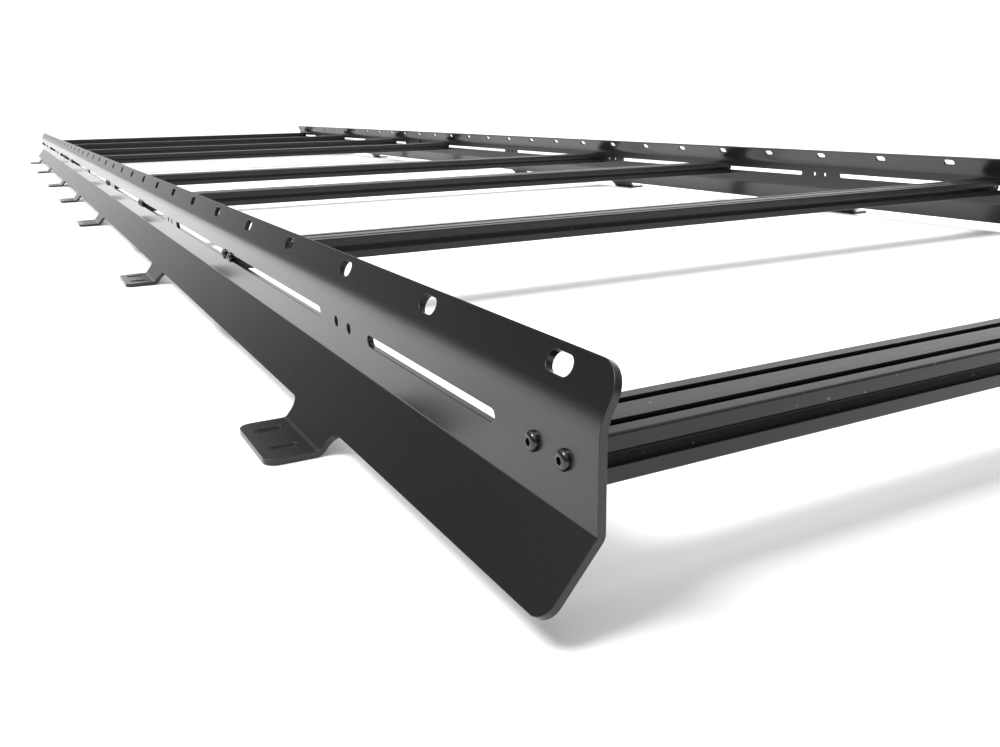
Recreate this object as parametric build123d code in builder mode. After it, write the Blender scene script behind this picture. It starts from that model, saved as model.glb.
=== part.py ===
from build123d import *
from math import cos, radians, sin
import os

# Long roof rack: two bent side plates on fourteen feet, joined by eight slotted crossbars.
# Millimetres. X runs across the rack, Y along it, Z up from the undersides of the feet.
# The plane X = 0 lies midway between the side plates and Y = 0 midway along them.

# Overall layout
rack_width = 1340.0
hole_pitch = 152.4
hole_pitches = 32
end_margin = 45.7
joint_station = 5.5 * hole_pitch
joint_gap = 0.8

# Bent side plate
plate_t = 4.76
flange_length = 28.6
flange_lean = 26.6
web_height = 53.2
skirt_length = 46.1
skirt_lean = 40.0
foot_drop = 13.2
pad_reach = 38.1
upper_bend_r = 32.0
crease_r = 2.5
pad_bend_r = 5.0
flange_corner_r = 16.0
skirt_corner_r = 11.0

# Cut-outs in the side plate
top_hole_length = 22.2
top_hole_height = 11.1
top_hole_drop = 10.5
web_line_drop = 25.2
web_slot_height = 7.9
web_hole_r = 4.0
slots_from_middle = [(40.0, 548.0), (649.0, 1316.0), (1418.0, 2088.0), (2196.0, 2387.0)]
pairs_from_middle = [0.0, 598.0, 1365.0, 2142.0]

# Feet
feet_from_middle = [0.0, 600.0, 1390.0, 2151.0]
foot_width = 86.0
leg_fillet_r = 12.0
pad_corner_r = 10.0
foot_slot_length = 22.2
foot_slot_width = 8.7
foot_slot_pitch = 41.3

# Crossbar extrusion
bars_from_middle = [526.0, 1064.0, 1751.0, 2442.0]
bar_width = 50.8
bar_height = 25.4
bar_corner_r = 1.5
groove_pitch = 25.4
groove_opening = 6.5
lip_t = 2.0
groove_width = 13.0
groove_depth = 5.7
side_groove_opening = 7.9
side_groove_width = 11.2
bore_wall_t = 2.3
bar_wall_t = 2.2
screw_pitch = 28.6

# Button head screws
screw_r = 3.175
thread_clearance = 0.05
head_r = 5.55
head_height = 3.3
bar_screw_bite = 18.0

# Splice plate behind the joint
splice_length = 152.0
splice_height = 32.0
splice_corner_r = 5.0
splice_screw_stations = [19.0, 51.0]
splice_slot_margin = 15.0

# Heights and places that follow from the sizes above
rack_end = hole_pitch * hole_pitches / 2 + end_margin
skirt_sin, skirt_cos = sin(radians(skirt_lean)), cos(radians(skirt_lean))
flange_sin, flange_cos = sin(radians(flange_lean)), cos(radians(flange_lean))
skirt_edge_z = plate_t + foot_drop
crease_z = skirt_edge_z + skirt_length * skirt_cos
flange_root_z = crease_z + web_height
web_line_z = flange_root_z - web_line_drop
web_x = -rack_width / 2
skirt_edge_x = web_x - skirt_length * skirt_sin
pad_bend_x = skirt_edge_x - foot_drop * skirt_sin / skirt_cos
pad_edge_x = pad_bend_x - pad_reach
pad_centre_x = pad_bend_x - pad_reach / 2
flange_edge = (web_x + flange_length * flange_sin, flange_root_z + flange_length * flange_cos)
bar_length = rack_width - 2 * plate_t
side_groove_depth = (bar_width - screw_pitch) / 2 - screw_r - bore_wall_t
side_groove_shoulder = lip_t + (side_groove_depth - lip_t) / 3

# Working planes on the left side plate. Local x runs along the rack and local y down the plate.
flange_plane = Plane((flange_edge[0], 0, flange_edge[1]), (0, 1, 0), (-flange_cos, 0, flange_sin))
web_plane = Plane((web_x, 0, web_line_z), (0, 1, 0), (-1, 0, 0))
skirt_plane = Plane((skirt_edge_x, 0, skirt_edge_z), (0, 1, 0), (-skirt_cos, 0, skirt_sin))

parts_folder = "parts"
os.makedirs(parts_folder, exist_ok=True)


def both_ends(stations):
    """Give the stations on both sides of the middle, in order along the rack."""
    return sorted({sign * station for station in stations for sign in (-1, 1)})


def write_piece(builder, name):
    """Label a finished piece and write it."""
    builder.part.label = name
    export_step(builder.part, f"{parts_folder}/{name}.step")


foot_stations = both_ends(feet_from_middle)
bar_stations = both_ends(bars_from_middle)
pair_stations = both_ends(pairs_from_middle)
end_bar_station = max(bars_from_middle)
top_hole_stations = [(i - hole_pitches / 2) * hole_pitch for i in range(hole_pitches + 1)]

# Round holes in the web: the spare pairs, and those that the two end bars are screwed through.
web_hole_stations = [
    station + side * screw_pitch / 2
    for station in pair_stations + [-end_bar_station, end_bar_station]
    for side in (-1, 1)
]
splice_stations = [joint_station + offset for offset in both_ends(splice_screw_stations)]

# Long web slots. One that crosses the joint stops short of the splice screws on both sides.
slot_clear = max(splice_screw_stations) + splice_slot_margin
web_slots = []
for near, far in slots_from_middle:
    for start, end in ((-far, -near), (near, far)):
        if start < joint_station < end:
            web_slots += [(start, joint_station - slot_clear), (joint_station + slot_clear, end)]
        else:
            web_slots.append((start, end))

# Open stretches below the skirt, between the legs and past the first and last of them.
overshoot = 3 * leg_fillet_r
leg_edges = [-rack_end - overshoot]
for station in foot_stations:
    leg_edges += [station - foot_width / 2, station + foot_width / 2]
leg_edges.append(rack_end + overshoot)
open_stretches = list(zip(leg_edges[0::2], leg_edges[1::2]))


def side_plate(start_y, end_y, free_end_y):
    """Bend one length of the left side plate and cut its holes, slots and feet."""
    with BuildPart() as plate:
        # The outward face of the plate, from the flange's top edge to the pad's outer edge
        with BuildSketch(Plane.XZ.offset(-start_y)):
            with BuildLine():
                FilletPolyline(
                    flange_edge,
                    (web_x, flange_root_z),
                    (web_x, crease_z),
                    (pad_bend_x, plate_t),
                    (pad_edge_x, plate_t),
                    radius=(upper_bend_r, crease_r, pad_bend_r),
                )
                offset(amount=plate_t, side=Side.LEFT)
            make_face()
        extrude(amount=start_y - end_y)

        # Blank cut away between the legs
        with BuildSketch(skirt_plane):
            for left, right in open_stretches:
                with BuildSketch(mode=Mode.PRIVATE) as stretch:
                    with Locations(((left + right) / 2, 0)):
                        Rectangle(right - left, 2 * pad_reach, align=(Align.CENTER, Align.MIN))
                    fillet(stretch.vertices().group_by(Axis.Y)[0], radius=leg_fillet_r)
                add(stretch.sketch)
        extrude(amount=pad_reach, both=True, mode=Mode.SUBTRACT)

        # Row of obround holes in the flange
        with BuildSketch(flange_plane):
            with Locations(*[(y, top_hole_drop) for y in top_hole_stations if start_y < y < end_y]):
                SlotOverall(top_hole_length, top_hole_height)
        extrude(amount=2 * plate_t, both=True, mode=Mode.SUBTRACT)

        # Slots and round holes in the web
        with BuildSketch(web_plane):
            for slot_start, slot_end in web_slots:
                if start_y < slot_start and slot_end < end_y:
                    with Locations(((slot_start + slot_end) / 2, 0)):
                        SlotOverall(slot_end - slot_start, web_slot_height)
            with Locations(*[(y, 0) for y in web_hole_stations + splice_stations if start_y < y < end_y]):
                Circle(web_hole_r)
        extrude(amount=2 * plate_t, both=True, mode=Mode.SUBTRACT)

        # Two slots across each foot pad
        with BuildSketch(Plane.XY):
            for station in foot_stations:
                if start_y < station < end_y:
                    with Locations((pad_centre_x, station)):
                        with GridLocations(0, foot_slot_pitch, 1, 2):
                            SlotOverall(foot_slot_length, foot_slot_width)
        extrude(amount=plate_t, mode=Mode.SUBTRACT)

        # Rounded pad corners, then the rounded corners at the rack's end
        pad_edges = plate.edges().filter_by(Axis.Z).group_by(Axis.X)[0]
        fillet(pad_edges, radius=pad_corner_r)
        end_edges = plate.edges().filter_by_position(Axis.Y, free_end_y - 0.01, free_end_y + 0.01)
        flange_corner = end_edges.filter_by(Axis((0, 0, 0), flange_plane.z_dir)).sort_by(Axis.Z)[-1]
        skirt_corner = end_edges.filter_by(Axis((0, 0, 0), skirt_plane.z_dir)).sort_by(Axis.Z)[0]
        fillet(flange_corner, radius=flange_corner_r)
        fillet(skirt_corner, radius=skirt_corner_r)
    return plate


def mirrored(piece):
    """Give the piece for the right side of the rack."""
    with BuildPart() as twin:
        add(piece.part)
        mirror(about=Plane.YZ, mode=Mode.REPLACE)
    return twin


joint_front = joint_station - joint_gap / 2
joint_rear = joint_station + joint_gap / 2
for name, start_y, end_y, free_end_y in (
    ("front", -rack_end, joint_front, -rack_end),
    ("rear", joint_rear, rack_end, rack_end),
):
    left_plate = side_plate(start_y, end_y, free_end_y)
    write_piece(left_plate, f"left_side_plate_{name}")
    write_piece(mirrored(left_plate), f"right_side_plate_{name}")

# Crossbar section: two grooves above and below, one at each side, and a bore for each end screw
side_groove = [
    (bar_width / 2 - lip_t, side_groove_width / 2),
    (bar_width / 2 - side_groove_shoulder, side_groove_width / 2),
    (bar_width / 2 - side_groove_depth, 0),
    (bar_width / 2 - side_groove_shoulder, -side_groove_width / 2),
    (bar_width / 2 - lip_t, -side_groove_width / 2),
]
hollow_width = groove_pitch - groove_width - 2 * bar_wall_t
for number, station in enumerate(bar_stations, start=1):
    bar_start = Plane((-bar_length / 2, station, web_line_z), (0, 1, 0), (1, 0, 0))
    with BuildPart() as crossbar:
        with BuildSketch(bar_start):
            RectangleRounded(bar_width, bar_height, bar_corner_r)
            with GridLocations(groove_pitch, bar_height, 2, 2):
                Rectangle(groove_opening, 2 * groove_depth, mode=Mode.SUBTRACT)
            with GridLocations(groove_pitch, bar_height - groove_depth - lip_t, 2, 2):
                Rectangle(groove_width, groove_depth - lip_t, mode=Mode.SUBTRACT)
            with GridLocations(bar_width, 0, 2, 1):
                Rectangle(2 * side_groove_shoulder, side_groove_opening, mode=Mode.SUBTRACT)
            for side in (-1, 1):
                pocket = [(side * across, height) for across, height in side_groove]
                Polygon(*pocket[::side], align=None, mode=Mode.SUBTRACT)
            with GridLocations(screw_pitch, 0, 2, 1):
                Circle(screw_r + thread_clearance, mode=Mode.SUBTRACT)
            Rectangle(hollow_width, bar_height - 2 * bar_wall_t, mode=Mode.SUBTRACT)
        extrude(amount=bar_length)
    write_piece(crossbar, f"crossbar_{number}")


def screws(places, shank_length, mirror_too):
    """Make button head screws that enter the left side plate at the given stations."""
    with BuildPart() as group:
        with BuildSketch(web_plane):
            with Locations(*[(y, 0) for y in places]):
                Circle(screw_r)
        extrude(amount=-shank_length)
        with BuildSketch(web_plane):
            with Locations(*[(y, 0) for y in places]):
                Circle(head_r)
        extrude(amount=head_height)
        if mirror_too:
            mirror(about=Plane.YZ)
    return group


for number, station in enumerate(bar_stations, start=1):
    ends = [station + side * screw_pitch / 2 for side in (-1, 1)]
    write_piece(screws(ends, plate_t + bar_screw_bite, True), f"crossbar_{number}_screws")

# Splice plates on the inner faces of the webs, with their screws
splice_plane = web_plane.offset(-plate_t)
with BuildPart() as left_splice:
    with BuildSketch(splice_plane):
        with Locations((joint_station, 0)):
            RectangleRounded(splice_length, splice_height, splice_corner_r)
        with Locations(*[(y, 0) for y in splice_stations]):
            Circle(screw_r + thread_clearance, mode=Mode.SUBTRACT)
    extrude(amount=-plate_t)
write_piece(left_splice, "left_splice_plate")
write_piece(mirrored(left_splice), "right_splice_plate")

left_splice_screws = screws(splice_stations, 2 * plate_t, False)
write_piece(left_splice_screws, "left_splice_screws")
write_piece(mirrored(left_splice_screws), "right_splice_screws")

print("rack", round(2 * rack_end, 1), "long,", round(-2 * pad_edge_x, 1), "over the pads,",
      round(flange_edge[1], 1), "high")
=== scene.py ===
"""Studio scene of a long black roof rack: bent side plates on feet, joined by slotted crossbars."""
import logging
from dataclasses import dataclass, field
from enum import Enum
from math import cos, pi, radians, sin, tau

import bmesh
import bpy
from mathutils import Matrix, Vector


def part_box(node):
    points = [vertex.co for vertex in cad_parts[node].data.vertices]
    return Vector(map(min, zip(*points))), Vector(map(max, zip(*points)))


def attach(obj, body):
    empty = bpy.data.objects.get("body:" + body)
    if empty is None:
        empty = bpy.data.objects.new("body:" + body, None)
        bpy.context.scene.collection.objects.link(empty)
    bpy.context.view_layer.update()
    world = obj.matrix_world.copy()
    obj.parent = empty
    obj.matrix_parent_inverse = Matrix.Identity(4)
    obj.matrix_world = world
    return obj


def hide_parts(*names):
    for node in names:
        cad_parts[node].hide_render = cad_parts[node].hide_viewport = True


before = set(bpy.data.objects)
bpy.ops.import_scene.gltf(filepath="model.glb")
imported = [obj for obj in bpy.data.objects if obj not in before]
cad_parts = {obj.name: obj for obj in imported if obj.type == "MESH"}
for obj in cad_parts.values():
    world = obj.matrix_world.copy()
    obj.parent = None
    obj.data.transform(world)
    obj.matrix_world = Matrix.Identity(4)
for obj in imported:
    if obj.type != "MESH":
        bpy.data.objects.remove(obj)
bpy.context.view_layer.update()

LOG = logging.getLogger("roof_rack")
MM = 0.001
BODY = "root"
PHOTO_WIDTH_PX = 1000

PLATE_THICKNESS = 4.76 * MM
COAT_EDGE_RADIUS = 0.45 * MM
SPLICE_SCREW_REACHES = (19 * MM, 51 * MM)
BAR_SCREW_BITE = 18.0 * MM

Colour = tuple[float, float, float, float]
Span = tuple[float, float]
Surface = tuple[bpy.types.NodeSocket, bpy.types.NodeSocket, bpy.types.NodeSocket]


class Side(Enum):
    """Side of the rack, with the sign of its X."""

    LEFT = -1
    RIGHT = 1

    @property
    def word(self) -> str:
        """The side's name as the nodes spell it."""
        return self.name.lower()

    def outer(self, low: float, high: float) -> float:
        """Give the end of a stretch along X that lies farther out on this side.

        Args:
            low: The stretch's lower end.
            high: The stretch's upper end.

        Returns:
            The outer end.
        """
        return high if self is Side.RIGHT else low


class Length(Enum):
    """Front or rear length of a side plate."""

    FRONT = "front"
    REAR = "rear"


class Slot(Enum):
    """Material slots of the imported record."""

    SIDE_PLATE = "side_plate"
    CROSSBAR = "crossbar"
    SPLICE_PLATE = "splice_plate"
    SCREW = "screw"


def pick(obj: bpy.types.Object) -> bpy.types.Object:
    """Select one object alone and make it active.

    Args:
        obj: The object that the next operator works on.

    Returns:
        The same object.
    """
    bpy.ops.object.select_all(action="DESELECT")
    obj.select_set(True)
    bpy.context.view_layer.objects.active = obj
    return obj


def link(obj: bpy.types.Object) -> bpy.types.Object:
    """Put a new object into the scene.

    Args:
        obj: The new object.

    Returns:
        The same object.
    """
    bpy.context.scene.collection.objects.link(obj)
    return obj


def add_modifier(obj: bpy.types.Object, kind: str, **settings: object) -> None:
    """Add a modifier, set it and apply it.

    Args:
        obj: The object that is changed.
        kind: Blender's name of the modifier.
        **settings: The modifier's values.
    """
    pick(obj)
    modifier = obj.modifiers.new(kind.title(), kind)
    for key, value in settings.items():
        setattr(modifier, key, value)
    bpy.ops.object.modifier_apply(modifier=modifier.name)


def merged_copy(node_name: str, piece_name: str, stations: tuple[float, ...] = ()) -> bpy.types.Object:
    """Copy a CAD node's mesh, join its loose triangles and clear its flat stretches of inner edges.

    Args:
        node_name: The CAD node that is copied and stays as it is.
        piece_name: The name of the copy.
        stations: Places along Y, in metres, where an edge stays across the piece, so that no flat
            face runs all the way round a hole.

    Returns:
        The copy, at the origin, with its place in its mesh.
    """
    flat_angle, merge_distance = radians(0.5), 0.002 * MM
    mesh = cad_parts[node_name].data.copy()
    mesh.materials.clear()
    piece = link(bpy.data.objects.new(piece_name, mesh))
    pick(piece)
    bpy.ops.object.mode_set(mode="EDIT")
    bpy.ops.mesh.select_all(action="SELECT")
    bpy.ops.mesh.customdata_custom_splitnormals_clear()
    bpy.ops.mesh.remove_doubles(threshold=merge_distance)
    for station in stations:
        bpy.ops.mesh.select_all(action="SELECT")
        bpy.ops.mesh.bisect(plane_co=(0, station, 0), plane_no=(0, 1, 0), threshold=merge_distance)
        bpy.ops.mesh.mark_seam(clear=False)
    bpy.ops.mesh.select_all(action="SELECT")
    bpy.ops.mesh.dissolve_limited(angle_limit=flat_angle, delimit={"SEAM"})
    bpy.ops.object.mode_set(mode="OBJECT")
    return piece


def soften_edges(piece: bpy.types.Object, edge_radius: float) -> None:
    """Round the sharp edges a little, with flat faces that stay flat in the light.

    Args:
        piece: The piece whose edges are rounded.
        edge_radius: The radius of the rounding, in metres.
    """
    facets, sharp_angle, smooth_angle, flat_weight = 2, radians(30), radians(60), 50
    add_modifier(
        piece, "BEVEL", width=edge_radius, segments=facets, limit_method="ANGLE",
        angle_limit=sharp_angle, use_clamp_overlap=False, miter_outer="MITER_SHARP",
        face_strength_mode="FSTR_AFFECTED",
    )
    pick(piece)
    bpy.ops.object.shade_smooth_by_angle(angle=smooth_angle)
    add_modifier(
        piece, "WEIGHTED_NORMAL", mode="FACE_AREA", weight=flat_weight, keep_sharp=True,
        use_face_influence=True,
    )


def hand_over(piece: bpy.types.Object, finish: bpy.types.Material, slot: Slot, *nodes: str) -> None:
    """Give a finished piece its material and its body, and hide the CAD nodes it stands for.

    Args:
        piece: The finished piece.
        finish: Its material.
        slot: The record's slot of that material; not used.
        *nodes: The CAD nodes that the piece replaces.
    """
    piece.data.materials.clear()
    piece.data.materials.append(finish)
    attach(piece, BODY)
    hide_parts(*nodes)
    LOG.info("%s: %d faces", piece.name, len(piece.data.polygons))


class NodeSheet:
    """A node tree with short calls to add, place and join its nodes."""

    COLUMN_STEP = 190
    ROW_STEP = 170
    ROWS = 4

    def __init__(self, tree: bpy.types.NodeTree) -> None:
        """Keep the tree and start at its left edge."""
        self.tree = tree
        self.column = 0

    def add(self, kind: str, **inputs: object) -> bpy.types.Node:
        """Add a node and fill its inputs.

        Args:
            kind: The node's type.
            **inputs: Values or output sockets, by input name with spaces as underscores. I and a
                number mean the input of that index, and a name in lower case is a property of the
                node itself.

        Returns:
            The new node.
        """
        node = self.tree.nodes.new(kind)
        node.location = (self.column * self.COLUMN_STEP, -(self.column % self.ROWS) * self.ROW_STEP)
        self.column += 1
        for key, value in inputs.items():
            if key[0].islower():
                setattr(node, key, value)
                continue
            by_index = key[0] == "I" and key[1:].isdigit()
            socket = node.inputs[int(key[1:]) if by_index else key.replace("_", " ")]
            if isinstance(value, bpy.types.NodeSocket):
                self.tree.links.new(value, socket)
            else:
                socket.default_value = value
        return node

    def math(self, operation: str, first: object, second: object) -> bpy.types.NodeSocket:
        """Work out one value from two.

        Args:
            operation: Blender's name of the operation.
            first: The first value or socket.
            second: The second value or socket.

        Returns:
            The output socket.
        """
        return self.add("ShaderNodeMath", operation=operation, I0=first, I1=second).outputs[0]

    def span(self, value: object, come_in: Span, go_out: Span = (0.0, 1.0)) -> bpy.types.NodeSocket:
        """Map a value from one range to another, clamped at both ends.

        Args:
            value: The socket that is mapped.
            come_in: Start and end of the range that comes in.
            go_out: What the start and the end become.

        Returns:
            The output socket.
        """
        node = self.add(
            "ShaderNodeMapRange", Value=value, From_Min=come_in[0], From_Max=come_in[1],
            To_Min=go_out[0], To_Max=go_out[1],
        )
        return node.outputs["Result"]

    def blend(self, share: object, first: object, second: object) -> bpy.types.NodeSocket:
        """Mix two colours.

        Args:
            share: How much of the second colour shows.
            first: The first colour or socket.
            second: The second colour or socket.

        Returns:
            The output socket.
        """
        return self.add("ShaderNodeMix", data_type="RGBA", I0=share, I6=first, I7=second).outputs[2]

    def noise(
        self, place: bpy.types.NodeSocket, scale: object, detail: float, roughness: float = 0.5
    ) -> bpy.types.NodeSocket:
        """Add a cloudy pattern.

        Args:
            place: Where on the object the pattern is read.
            scale: Clouds for each metre, or a socket that gives them.
            detail: Finer layers over the first.
            roughness: How strong the finer layers are.

        Returns:
            The output socket, around one half.
        """
        node = self.add("ShaderNodeTexNoise", Vector=place, Scale=scale, Detail=detail, Roughness=roughness)
        return node.outputs["Fac"]


def new_group(name: str, inputs: dict[str, float], outputs: tuple[str, ...]) -> NodeSheet:
    """Start a shader node group with number sockets.

    Args:
        name: The group's name.
        inputs: The inputs' names and first values.
        outputs: The outputs' names.

    Returns:
        The group's tree, ready for its nodes.
    """
    tree = bpy.data.node_groups.new(name, "ShaderNodeTree")
    for label, value in inputs.items():
        socket = tree.interface.new_socket(name=label, in_out="INPUT", socket_type="NodeSocketFloat")
        socket.default_value = value
    for label in outputs:
        tree.interface.new_socket(name=label, in_out="OUTPUT", socket_type="NodeSocketFloat")
    return NodeSheet(tree)


def coat_grain_group() -> bpy.types.NodeTree:
    """Build the fine relief of a sprayed and baked coat: a soft peel under fine grit.

    Returns:
        The group. Height feeds a bump, Fleck a colour mix and Haze the roughness.
    """
    haze_scale, fleck_range, haze_range = 14.0, (0.56, 0.72), (0.3, 0.7)
    sheet = new_group(
        "coat_grain",
        {"Peel Scale": 300.0, "Grit Scale": 1800.0, "Grit Share": 0.4},
        ("Height", "Fleck", "Haze"),
    )
    given = sheet.add("NodeGroupInput").outputs
    place = sheet.add("ShaderNodeTexCoord").outputs["Object"]
    peel = sheet.noise(place, given["Peel Scale"], detail=2.0)
    grit = sheet.noise(place, given["Grit Scale"], detail=3.0, roughness=0.65)
    broad = sheet.noise(place, haze_scale, detail=3.0, roughness=0.55)
    height = sheet.math("ADD", peel, sheet.math("MULTIPLY", grit, given["Grit Share"]))
    fleck = sheet.span(grit, fleck_range)
    haze = sheet.span(broad, haze_range)
    sheet.add("NodeGroupOutput", Height=height, Fleck=fleck, Haze=haze)
    return sheet.tree


def drawn_lines_group() -> bpy.types.NodeTree:
    """Build the faint lines that a die leaves along an extrusion, with a few stray specks.

    Returns:
        The group. Height feeds a bump, Streak a colour mix and roughness, and Speck a colour mix.
    """
    stretch, streak_scale = (0.004, 1.0, 1.0), 160.0
    streak_range, speck_range = (0.35, 0.65), (0.76, 0.80)
    sheet = new_group(
        "drawn_lines", {"Line Scale": 1500.0, "Speck Scale": 260.0}, ("Height", "Streak", "Speck")
    )
    given = sheet.add("NodeGroupInput").outputs
    place = sheet.add("ShaderNodeTexCoord").outputs["Object"]
    along = sheet.add("ShaderNodeMapping", Vector=place, Scale=stretch).outputs["Vector"]
    lines = sheet.noise(along, given["Line Scale"], detail=2.0, roughness=0.6)
    streak = sheet.noise(along, streak_scale, detail=3.0, roughness=0.6)
    speck = sheet.noise(place, given["Speck Scale"], detail=1.0)
    wide = sheet.span(streak, streak_range)
    dots = sheet.span(speck, speck_range)
    sheet.add("NodeGroupOutput", Height=lines, Streak=wide, Speck=dots)
    return sheet.tree


@dataclass(frozen=True)
class SurfaceGroups:
    """The shared surface effects, made once."""

    grain: bpy.types.NodeTree = field(default_factory=coat_grain_group)
    drawn: bpy.types.NodeTree = field(default_factory=drawn_lines_group)


@dataclass(frozen=True)
class Finish:
    """What all finishes of the rack have in common."""

    name: str
    groups: SurfaceGroups
    colour: Colour = (0.008, 0.008, 0.0083, 1.0)
    roughness: Span = (0.290, 0.302)
    refraction: float = 1.52
    bump_height: float = 0.05 * MM
    bump_strength: float = 0.35

    def build(self) -> bpy.types.Material:
        """Make the material.

        Returns:
            The finished material.
        """
        material = bpy.data.materials.new(self.name)
        material.use_nodes = True
        material.node_tree.nodes.clear()
        sheet = NodeSheet(material.node_tree)
        tone, rough, height = self.surface(sheet)
        bump = sheet.add(
            "ShaderNodeBump", Strength=self.bump_strength, Distance=self.bump_height, Height=height
        )
        shader = sheet.add(
            "ShaderNodeBsdfPrincipled", Base_Color=tone, Roughness=rough, Normal=bump.outputs["Normal"],
            IOR=self.refraction,
        )
        sheet.add("ShaderNodeOutputMaterial", Surface=shader.outputs["BSDF"])
        return material

    def surface(self, sheet: NodeSheet) -> Surface:
        """Add the nodes of this one finish.

        Args:
            sheet: The material's tree.

        Returns:
            The colour, the roughness and the height of the relief.
        """
        raise NotImplementedError


@dataclass(frozen=True)
class PowderCoat(Finish):
    """Black polyester powder coat, satin with a fine texture, glossier where it is seen at a low angle."""

    fleck_colour: Colour = (0.026, 0.026, 0.027, 1.0)
    grit_scale: float = 1250.0
    low_angle: Span = (0.6, 0.88)
    low_angle_share: float = 0.45

    def surface(self, sheet: NodeSheet) -> Surface:
        """Add the grain, its flecks and the gloss at low angles.

        Args:
            sheet: The material's tree.

        Returns:
            The colour, the roughness and the height of the relief.
        """
        grain = sheet.add("ShaderNodeGroup", node_tree=self.groups.grain, Grit_Scale=self.grit_scale).outputs
        tone = sheet.blend(grain["Fleck"], self.colour, self.fleck_colour)
        facing = sheet.add("ShaderNodeLayerWeight", Blend=0.5).outputs["Facing"]
        gloss = sheet.span(facing, self.low_angle, (1.0, self.low_angle_share))
        rough = sheet.math("MULTIPLY", sheet.span(grain["Haze"], (0.0, 1.0), self.roughness), gloss)
        return tone, rough, grain["Height"]


@dataclass(frozen=True)
class Anodised(Finish):
    """Black anodised extrusion, satin, with faint lines along its length."""

    colour: Colour = (0.010, 0.0095, 0.0092, 1.0)
    roughness: Span = (0.30, 0.37)
    refraction: float = 1.4
    bump_height: float = 0.02 * MM
    bump_strength: float = 0.3
    streak_colour: Colour = (0.016, 0.015, 0.0145, 1.0)
    speck_colour: Colour = (0.16, 0.16, 0.155, 1.0)

    def surface(self, sheet: NodeSheet) -> Surface:
        """Add the drawn lines and the specks.

        Args:
            sheet: The material's tree.

        Returns:
            The colour, the roughness and the height of the relief.
        """
        drawn = sheet.add("ShaderNodeGroup", node_tree=self.groups.drawn).outputs
        base = sheet.blend(drawn["Streak"], self.colour, self.streak_colour)
        tone = sheet.blend(drawn["Speck"], base, self.speck_colour)
        rough = sheet.span(drawn["Streak"], (0.0, 1.0), self.roughness)
        return tone, rough, drawn["Height"]


@dataclass(frozen=True)
class BlackOxide(Finish):
    """Blackened screw steel, smooth enough for a clear highlight."""

    colour: Colour = (0.006, 0.006, 0.0063, 1.0)
    roughness: Span = (0.16, 0.22)
    refraction: float = 1.6
    bump_height: float = 0.01 * MM
    bump_strength: float = 0.15
    fleck_colour: Colour = (0.020, 0.019, 0.018, 1.0)
    peel_scale: float = 900.0
    grit_scale: float = 4000.0

    def surface(self, sheet: NodeSheet) -> Surface:
        """Add the fine grain and its flecks.

        Args:
            sheet: The material's tree.

        Returns:
            The colour, the roughness and the height of the relief.
        """
        grain = sheet.add(
            "ShaderNodeGroup", node_tree=self.groups.grain,
            Peel_Scale=self.peel_scale, Grit_Scale=self.grit_scale,
        ).outputs
        tone = sheet.blend(grain["Fleck"], self.colour, self.fleck_colour)
        rough = sheet.span(grain["Haze"], (0.0, 1.0), self.roughness)
        return tone, rough, grain["Height"]


@dataclass
class SidePlate:
    """One length of a bent side plate, with its edges softened by the coat."""

    side: Side
    length: Length
    finish: bpy.types.Material
    top_hole_pitch: float = 152.4 * MM
    top_hole_steps: int = 16
    pair_centres: tuple[float, ...] = (0.0, 0.526, 0.598, 1.064, 1.365, 1.751, 2.142, 2.442)
    pair_reach: float = 14.3 * MM
    foot_centres: tuple[float, ...] = (0.0, 0.6, 1.39, 2.151)
    foot_slot_reach: float = 20.65 * MM
    joint: float = 838.2 * MM

    def hole_stations(self) -> tuple[float, ...]:
        """List the places along Y where holes have their middles.

        Returns:
            The stations from the front to the rear, each once.
        """
        both = (-1, 1)
        pairs, feet = (self.pair_centres, self.pair_reach), (self.foot_centres, self.foot_slot_reach)
        steps = range(-self.top_hole_steps, self.top_hole_steps + 1)
        found = {step * self.top_hole_pitch for step in steps}
        found |= {self.joint + sign * reach for sign in both for reach in SPLICE_SCREW_REACHES}
        for centres, reach in (pairs, feet):
            found |= {half * centre + sign * reach for half in both for centre in centres for sign in both}
        return tuple(sorted(found))

    def build(self) -> bpy.types.Object:
        """Copy the plate, round its edges and dress it.

        Returns:
            The finished piece.
        """
        node = f"{self.side.word}_side_plate_{self.length.value}"
        piece = merged_copy(node, f"{self.side.word}_coated_plate_{self.length.value}", self.hole_stations())
        soften_edges(piece, COAT_EDGE_RADIUS)
        hand_over(piece, self.finish, Slot.SIDE_PLATE, node)
        return piece


@dataclass
class Crossbar:
    """One slotted crossbar with its extruded edges slightly rounded."""

    number: int
    finish: bpy.types.Material
    edge_radius: float = 0.3 * MM

    def build(self) -> bpy.types.Object:
        """Copy the bar, round its edges and dress it.

        Returns:
            The finished piece.
        """
        node = f"crossbar_{self.number}"
        piece = merged_copy(node, f"{node}_anodised")
        soften_edges(piece, self.edge_radius)
        hand_over(piece, self.finish, Slot.CROSSBAR, node)
        return piece


@dataclass
class SplicePlate:
    """The flat plate behind a joint of two side plate lengths."""

    side: Side
    finish: bpy.types.Material

    def build(self) -> bpy.types.Object:
        """Copy the splice plate, round its edges and dress it.

        Returns:
            The finished piece.
        """
        node = f"{self.side.word}_splice_plate"
        piece = merged_copy(node, f"{self.side.word}_coated_splice")
        soften_edges(piece, COAT_EDGE_RADIUS)
        hand_over(piece, self.finish, Slot.SPLICE_PLATE, node)
        return piece


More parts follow.
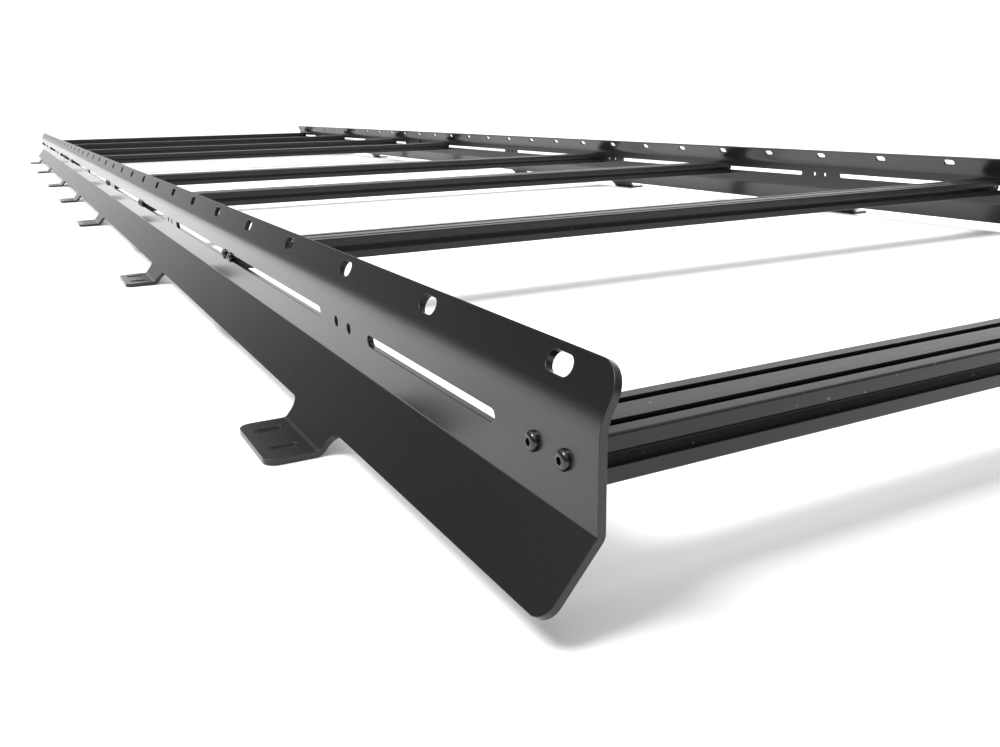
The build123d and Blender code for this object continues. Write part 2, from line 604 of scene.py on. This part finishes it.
@dataclass
class ButtonScrew:
    """A button head screw with a hexagon socket, modelled once and copied to its places."""

    head_radius: float = 5.55 * MM
    head_height: float = 3.3 * MM
    rim_height: float = 0.7 * MM
    crown_radius: float = 3.0 * MM
    crown_rings: int = 7
    socket_flats: float = 4.0 * MM
    socket_depth: float = 3.2 * MM
    socket_cone: float = 0.3 * MM
    shank_radius: float = 3.175 * MM
    tip_chamfer: float = 0.5 * MM
    around: int = 36

    def build(self, name: str, shank_length: float) -> bpy.types.Object:
        """Model the screw with its head above Z = 0 and its shank below.

        Args:
            name: The screw's name.
            shank_length: Length under the head, in metres.

        Returns:
            The screw, standing at the origin.
        """
        bpy.ops.object.select_all(action="DESELECT")
        bpy.ops.mesh.primitive_cylinder_add(
            vertices=self.around, radius=self.head_radius, depth=self.head_height,
            location=(0, 0, self.head_height / 2),
        )
        screw = bpy.context.object
        screw.name = name
        bpy.ops.object.transform_apply(location=True, rotation=False, scale=False)
        bpy.ops.object.mode_set(mode="EDIT")
        bpy.ops.mesh.select_mode(type="FACE")
        self.crown_head(screw)
        self.sink_socket(screw)
        self.draw_shank(screw, shank_length)
        bpy.ops.mesh.select_all(action="SELECT")
        bpy.ops.mesh.normals_make_consistent(inside=False)
        bpy.ops.object.mode_set(mode="OBJECT")
        bpy.ops.object.shade_smooth_by_angle(angle=radians(35))
        return screw

    @staticmethod
    def pick_cap(screw: bpy.types.Object, height: float) -> None:
        """Select the one large face at a height.

        Args:
            screw: The screw in edit mode.
            height: The face's Z in metres.
        """
        near, level = 0.001 * MM, 0.9
        bpy.ops.mesh.select_all(action="DESELECT")
        shape = bmesh.from_edit_mesh(screw.data)
        caps = [
            face for face in shape.faces
            if abs(face.calc_center_median().z - height) < near and abs(face.normal.z) > level
        ]
        max(caps, key=lambda face: face.calc_area()).select_set(True)
        bmesh.update_edit_mesh(screw.data)

    @staticmethod
    def extrude(rise: float) -> None:
        """Extrude the selected face along Z by a distance in metres."""
        bpy.ops.mesh.extrude_region_move(TRANSFORM_OT_translate={"value": (0, 0, rise)})

    def crown_head(self, screw: bpy.types.Object) -> None:
        """Shape the dome above the rim by stacked, shrinking rings.

        Args:
            screw: The screw in edit mode.
        """
        dome_height = self.head_height - self.rim_height
        shape = bmesh.from_edit_mesh(screw.data)
        for vertex in shape.verts:
            if vertex.co.z > self.head_height / 2:
                vertex.co.z = self.rim_height
        bmesh.update_edit_mesh(screw.data)
        self.pick_cap(screw, self.rim_height)
        width, rise = self.head_radius, 0.0
        for ring in range(1, self.crown_rings + 1):
            angle = ring / self.crown_rings * pi / 2
            next_width = self.crown_radius + (self.head_radius - self.crown_radius) * cos(angle)
            next_rise = dome_height * sin(angle)
            self.extrude(next_rise - rise)
            bpy.ops.transform.resize(value=(next_width / width, next_width / width, 1))
            width, rise = next_width, next_rise

    def sink_socket(self, screw: bpy.types.Object) -> None:
        """Cut the hexagon socket into the flat of the crown, with a cone at its bottom.

        Args:
            screw: The screw in edit mode.
        """
        circle_share, cone_share, sixth = 0.6, 0.2, tau / 6
        self.pick_cap(screw, self.head_height)
        bpy.ops.mesh.inset(thickness=self.crown_radius - self.socket_flats * circle_share)
        shape = bmesh.from_edit_mesh(screw.data)
        for vertex in (corner for face in shape.faces if face.select for corner in face.verts):
            turn = Vector(vertex.co.xy).angle_signed(Vector((1, 0)), 0.0) % sixth - sixth / 2
            reach = self.socket_flats / 2 / cos(turn)
            vertex.co.xy = vertex.co.xy.normalized() * reach
        bmesh.update_edit_mesh(screw.data)
        self.extrude(-self.socket_depth)
        bpy.ops.mesh.inset(thickness=self.socket_flats * cone_share)
        bpy.ops.transform.translate(value=(0, 0, -self.socket_cone))

    def draw_shank(self, screw: bpy.types.Object, shank_length: float) -> None:
        """Pull the shank out of the head's underside and chamfer its tip.

        Args:
            screw: The screw in edit mode.
            shank_length: Length under the head, in metres.
        """
        tip_share = 1 - self.tip_chamfer / self.shank_radius
        self.pick_cap(screw, 0.0)
        bpy.ops.mesh.inset(thickness=self.head_radius - self.shank_radius)
        self.extrude(self.tip_chamfer - shank_length)
        self.extrude(-self.tip_chamfer)
        bpy.ops.transform.resize(value=(tip_share, tip_share, 1))


@dataclass
class ScrewSet:
    """The screws of one CAD node, seated on the outer faces of the webs."""

    node: str
    shank_length: float
    finish: bpy.types.Material
    inner_share: float | None = None
    screw: ButtonScrew = field(default_factory=ButtonScrew)
    first_turn: float = radians(17)
    turn_step: float = radians(23)

    def places(self) -> list[tuple[Side, Vector]]:
        """Read the screws' places from the node's box.

        Returns:
            The side and the point under the head of each screw.
        """
        low, high = (Vector(corner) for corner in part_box(self.node))
        middle, height = (low.y + high.y) / 2, (low.z + high.z) / 2
        reach = (high.y - low.y) / 2 - self.screw.head_radius
        offsets = [-reach, reach]
        if self.inner_share is not None:
            offsets += [-reach * self.inner_share, reach * self.inner_share]
        found = []
        for side in Side:
            outer = side.outer(low.x, high.x)
            if side.value * outer > 0:
                seat = outer - side.value * self.screw.head_height
                found += [(side, Vector((seat, middle + offset, height))) for offset in offsets]
        return found

    def build(self) -> bpy.types.Object:
        """Model one screw, copy it to all places and join the copies.

        Returns:
            The finished set.
        """
        master = self.screw.build(f"{self.node}_fitted", self.shank_length)
        copies = []
        for index, (side, point) in enumerate(self.places()):
            mesh = master.data.copy()
            lay_down = Matrix.Rotation(side.value * pi / 2, 4, "Y")
            spin = Matrix.Rotation(self.first_turn + self.turn_step * index, 4, "Z")
            mesh.transform(Matrix.Translation(point) @ lay_down @ spin)
            copies.append(link(bpy.data.objects.new(f"{self.node}_{index}", mesh)))
        bpy.data.objects.remove(master)
        pick(copies[0])
        for copy in copies:
            copy.select_set(True)
        bpy.ops.object.join()
        piece = bpy.context.object
        piece.name = f"{self.node}_fitted"
        hand_over(piece, self.finish, Slot.SCREW, self.node)
        return piece


@dataclass(frozen=True)
class Lamp:
    """A distant lamp. Its drift is how far a shadow moves along X and Y for each metre of height."""

    name: str = "main_lamp"
    strength: float = 2.75
    spread: float = radians(22)
    drift: tuple[float, float] = (0.57, -0.05)

    def hang(self) -> None:
        """Hang the lamp above the rack."""
        data = bpy.data.lights.new(self.name, "SUN")
        data.energy = self.strength
        data.angle = self.spread
        lamp = link(bpy.data.objects.new(self.name, data))
        lamp.rotation_euler = Vector((*self.drift, -1.0)).to_track_quat("-Z", "Y").to_euler()


@dataclass(frozen=True)
class Softbox:
    """A broad soft lamp over the rack, which pales the shadows further back and shows in no surface."""

    name: str = "softbox"
    power: float = 42.0
    size: float = 1.6
    place: tuple[float, float, float] = (0.5, -0.9, 1.8)

    def hang(self) -> None:
        """Hang the softbox above the rack."""
        data = bpy.data.lights.new(self.name, "AREA")
        data.energy = self.power
        data.size = self.size
        softbox = link(bpy.data.objects.new(self.name, data))
        softbox.location = self.place
        softbox.visible_glossy = False


@dataclass(frozen=True)
class Room:
    """A dark room with a bright ceiling, a pale band at the floor and a bright backdrop on one side.

    Heights are the sine of the angle above the floor, and spreads the cosine of the angle from the
    middle of the backdrop.
    """

    dark_level: float = 0.04
    ceiling_level: float = 1.5
    ceiling_heights: Span = (0.33, 0.95)
    band_level: float = 0.4
    band_heights: Span = (0.0, 0.2)
    backdrop_level: float = 1.65
    backdrop_bearing: float = radians(50)
    backdrop_spread: Span = (0.28, 0.95)
    backdrop_top: Span = (0.26, 0.38)
    seen_level: float = 1.0

    def light(self) -> None:
        """Paint the room around the scene. The camera itself sees plain white."""
        world = bpy.data.worlds.new("studio_room")
        bpy.context.scene.world = world
        world.use_nodes = True
        world.node_tree.nodes.clear()
        sheet = NodeSheet(world.node_tree)
        direction = sheet.add("ShaderNodeTexCoord").outputs["Generated"]
        height = sheet.add("ShaderNodeSeparateXYZ", Vector=direction).outputs["Z"]
        towards = (sin(self.backdrop_bearing), cos(self.backdrop_bearing), 0.0)
        facing = sheet.add("ShaderNodeVectorMath", operation="DOT_PRODUCT", I0=direction, I1=towards)
        ceiling = sheet.span(height, self.ceiling_heights, (0.0, self.ceiling_level))
        band = sheet.span(height, self.band_heights, (self.band_level, 0.0))
        wall = sheet.span(facing.outputs["Value"], self.backdrop_spread, (0.0, self.backdrop_level))
        wall = sheet.math("MULTIPLY", wall, sheet.span(height, self.backdrop_top, (1.0, 0.0)))
        level = sheet.math("MAXIMUM", sheet.math("MAXIMUM", wall, band), self.dark_level)
        level = sheet.math("MAXIMUM", level, ceiling)
        seen = sheet.add("ShaderNodeLightPath").outputs["Is Camera Ray"]
        mixed = sheet.add("ShaderNodeMix", data_type="FLOAT", I0=seen, I2=level, I3=self.seen_level)
        back = sheet.add("ShaderNodeBackground", Color=(1.0, 1.0, 1.0, 1.0), Strength=mixed.outputs[0])
        sheet.add("ShaderNodeOutputWorld", Surface=back.outputs["Background"])


@dataclass(frozen=True)
class Floor:
    """The plain pale floor, a hair under the feet."""

    half_width: float = 60.0
    drop: float = 0.2 * MM
    colour: Colour = (0.86, 0.86, 0.855, 1.0)
    roughness: float = 0.6

    def lay(self) -> None:
        bpy.ops.object.select_all(action="DESELECT")
        bpy.ops.mesh.primitive_plane_add(size=2 * self.half_width, location=(0, 0, -self.drop))
        floor = bpy.context.object
        floor.name = "studio_floor"
        material = bpy.data.materials.new("studio_floor_paint")
        material.use_nodes = True
        shader = material.node_tree.nodes["Principled BSDF"]
        shader.inputs["Base Color"].default_value = self.colour
        shader.inputs["Roughness"].default_value = self.roughness
        floor.data.materials.append(material)


@dataclass(frozen=True)
class Studio:
    """The floor, one distant lamp, one softbox and the room around them."""

    floor: Floor = Floor()
    lamp: Lamp = Lamp()
    softbox: Softbox = Softbox()
    room: Room = Room()

    def build(self) -> None:
        """Set up the studio and show it with plain photographic tones."""
        self.floor.lay()
        self.lamp.hang()
        self.softbox.hang()
        self.room.light()
        bpy.context.scene.view_settings.view_transform = "Standard"
        LOG.info("studio: floor, lamp, softbox and room")


@dataclass(frozen=True)
class PhotoCamera:
    """The camera that stood close to the near left corner of the rack."""

    place: tuple[float, float, float] = (-0.8803, -2.7879, 0.2408)
    bearing: float = radians(28.108)
    downward: float = radians(16.657)
    roll: float = radians(1.006)
    focal_px: float = 906.1
    sensor_width: float = 36.0
    clip: Span = (0.01, 500.0)

    def build(self) -> bpy.types.Object:
        """Make the camera and hand it to the scene.

        Returns:
            The camera.
        """
        level = cos(self.downward)
        ahead = Vector((sin(self.bearing) * level, cos(self.bearing) * level, -sin(self.downward)))
        level_right = Vector((cos(self.bearing), -sin(self.bearing), 0.0))
        level_down = ahead.cross(level_right)
        right = cos(self.roll) * level_right + sin(self.roll) * level_down
        up = sin(self.roll) * level_right - cos(self.roll) * level_down
        turn = Matrix((right, up, -ahead)).transposed().to_4x4()
        data = bpy.data.cameras.new("photo_camera")
        data.sensor_width = self.sensor_width
        data.lens = self.focal_px * self.sensor_width / PHOTO_WIDTH_PX
        data.clip_start, data.clip_end = self.clip
        camera = link(bpy.data.objects.new("photo_camera", data))
        camera.matrix_world = Matrix.Translation(self.place) @ turn
        bpy.context.scene.camera = camera
        return camera


def bar_numbers() -> list[int]:
    """Read the crossbars' numbers from the names of the CAD nodes.

    Returns:
        The numbers from the front to the rear.
    """
    words = (name.split("_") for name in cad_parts)
    return sorted(int(word[1]) for word in words if len(word) == 2 and word[0] == "crossbar")


def main() -> None:
    """Dress the rack piece by piece and set it in the studio."""
    logging.basicConfig(level=logging.INFO, format="%(name)s %(message)s")
    PhotoCamera().build()
    groups = SurfaceGroups()
    coat = PowderCoat("black_powder_coat", groups).build()
    splice_coat = PowderCoat("splice_powder_coat", groups).build()
    anodised = Anodised("black_anodised", groups).build()
    oxide = BlackOxide("black_oxide", groups).build()

    splice_shank = 2 * PLATE_THICKNESS
    inner_share = SPLICE_SCREW_REACHES[0] / SPLICE_SCREW_REACHES[1]
    for side in Side:
        for length in Length:
            SidePlate(side, length, coat).build()
        SplicePlate(side, splice_coat).build()
        ScrewSet(f"{side.word}_splice_screws", splice_shank, oxide, inner_share).build()
    for number in bar_numbers():
        Crossbar(number, anodised).build()
        ScrewSet(f"crossbar_{number}_screws", PLATE_THICKNESS + BAR_SCREW_BITE, oxide).build()
    Studio().build()


if __name__ == "__main__":
    main()
